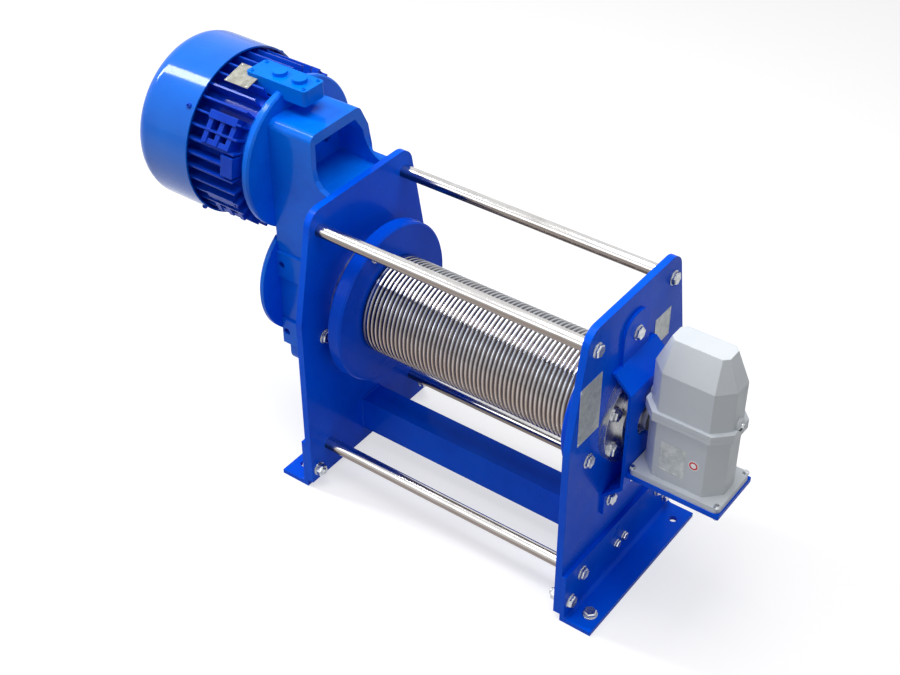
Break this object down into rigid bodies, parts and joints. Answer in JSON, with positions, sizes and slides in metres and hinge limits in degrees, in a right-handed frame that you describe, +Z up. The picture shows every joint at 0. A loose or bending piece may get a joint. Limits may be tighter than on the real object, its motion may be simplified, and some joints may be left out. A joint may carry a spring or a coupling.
{
  "type": "electric wire rope winch",
  "caption": "Electric rope winch: drum between two tall plates on tie rods, geared motor on one side, limit switch on the other.",
  "frame": {"origin": "on the ground, in the middle of the four anchor holes, under the drum", "axes": "+X along the drum from the motor to the limit switch, +Y from the front, where the gearbox pads are, to the rear, +Z up"},
  "size_m": [1.048, 0.324, 0.688],
  "materials": {
    "bearing_steel": "machined",
    "box_paint": "gloss enamel",
    "coupling_steel": "turned",
    "cowl_paint": "gloss enamel over sheet",
    "drum_paint": "gloss enamel over turned discs",
    "drum_steel": "machined, oiled",
    "frame_paint": "gloss enamel over plate",
    "gearbox_paint": "gloss enamel over a casting",
    "motor_paint": "satin enamel over a casting",
    "rod_steel": "bright drawn",
    "switch_grey": "light grey powder coat",
    "turned_steel": "turned",
    "zinc_bolts": "zinc plated"
  },
  "bodies": {
    "frame": {"base_beam": "frame_paint", "bearing_bolts_switch": "zinc_bolts", "bearing_cap_switch": "bearing_steel", "bearing_hub_motor": "bearing_steel", "bearing_hub_switch": "bearing_steel", "bottom_rod_bolts_motor": "zinc_bolts", "bottom_rod_bolts_switch": "zinc_bolts", "bracket_bolts": "zinc_bolts", "fan_cowl": "cowl_paint", "foot_angle_motor": "frame_paint", "foot_angle_switch": "frame_paint", "foot_bolts_motor": "zinc_bolts", "foot_bolts_switch": "zinc_bolts", "gearbox_casing": "gearbox_paint", "gearbox_end_cover": "gearbox_paint", "hub_bolts_motor": "zinc_bolts", "mid_bolts_motor": "zinc_bolts", "mid_bolts_switch": "zinc_bolts", "motor_flange": "gearbox_paint", "motor_frame": "motor_paint", "motor_rear_shield": "motor_paint", "side_plate_motor": "frame_paint", "side_plate_switch": "frame_paint", "switch_base": "switch_grey", "switch_bolts": "zinc_bolts", "switch_bracket": "frame_paint", "switch_cover": "switch_grey", "switch_shelf": "frame_paint", "terminal_box": "box_paint", "terminal_box_lid": "box_paint", "terminal_box_plugs": "box_paint", "tie_rod_bottom_front": "rod_steel", "tie_rod_bottom_rear": "rod_steel", "tie_rod_top_front": "rod_steel", "tie_rod_top_rear": "rod_steel", "top_rod_bolts_motor": "zinc_bolts", "top_rod_bolts_switch": "zinc_bolts"},
    "drum": {"drum_barrel": "drum_steel", "drum_flange_motor": "drum_paint", "drum_flange_switch": "drum_paint", "drum_shaft": "turned_steel", "rope_clamp_bolt": "zinc_bolts", "switch_coupling": "coupling_steel"}
  },
  "joints": [
    {"name": "drum_spin", "type": "hinge", "parent": "frame", "child": "drum", "pos_m": [0, 0, 0.325], "axis": [1, 0, 0], "continuous": true}
  ]
}
